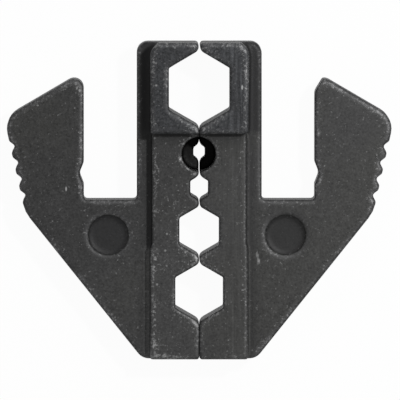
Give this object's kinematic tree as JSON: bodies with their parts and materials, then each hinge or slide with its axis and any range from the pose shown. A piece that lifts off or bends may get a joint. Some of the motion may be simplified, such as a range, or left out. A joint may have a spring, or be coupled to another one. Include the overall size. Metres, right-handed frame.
{
  "type": "crimp die pair",
  "caption": "Pair of mirrored crimp dies with half hexagon cavities along the parting line, a jaw slot with a detent notch and a grooved grip edge on each.",
  "frame": {"origin": "on the backs' plane, in the parting plane, half way along the dies", "axes": "+X from the left die to the right die across the parting plane, +Y along the parting line towards the widest cavity and the slots' mouths, +Z out of the marked face"},
  "size_m": [0.052, 0.043, 0.0095],
  "materials": {
    "left_die_steel": "black oxide, satin",
    "right_die_steel": "black oxide, satin"
  },
  "bodies": {
    "left_die": {"left_die": "left_die_steel"},
    "right_die": {"right_die": "right_die_steel"}
  },
  "joints": [
    {"name": "die_opening", "type": "slide", "parent": "left_die", "child": "right_die", "axis": [1, 0, 0], "range_m": [0, 0.012]}
  ]
}
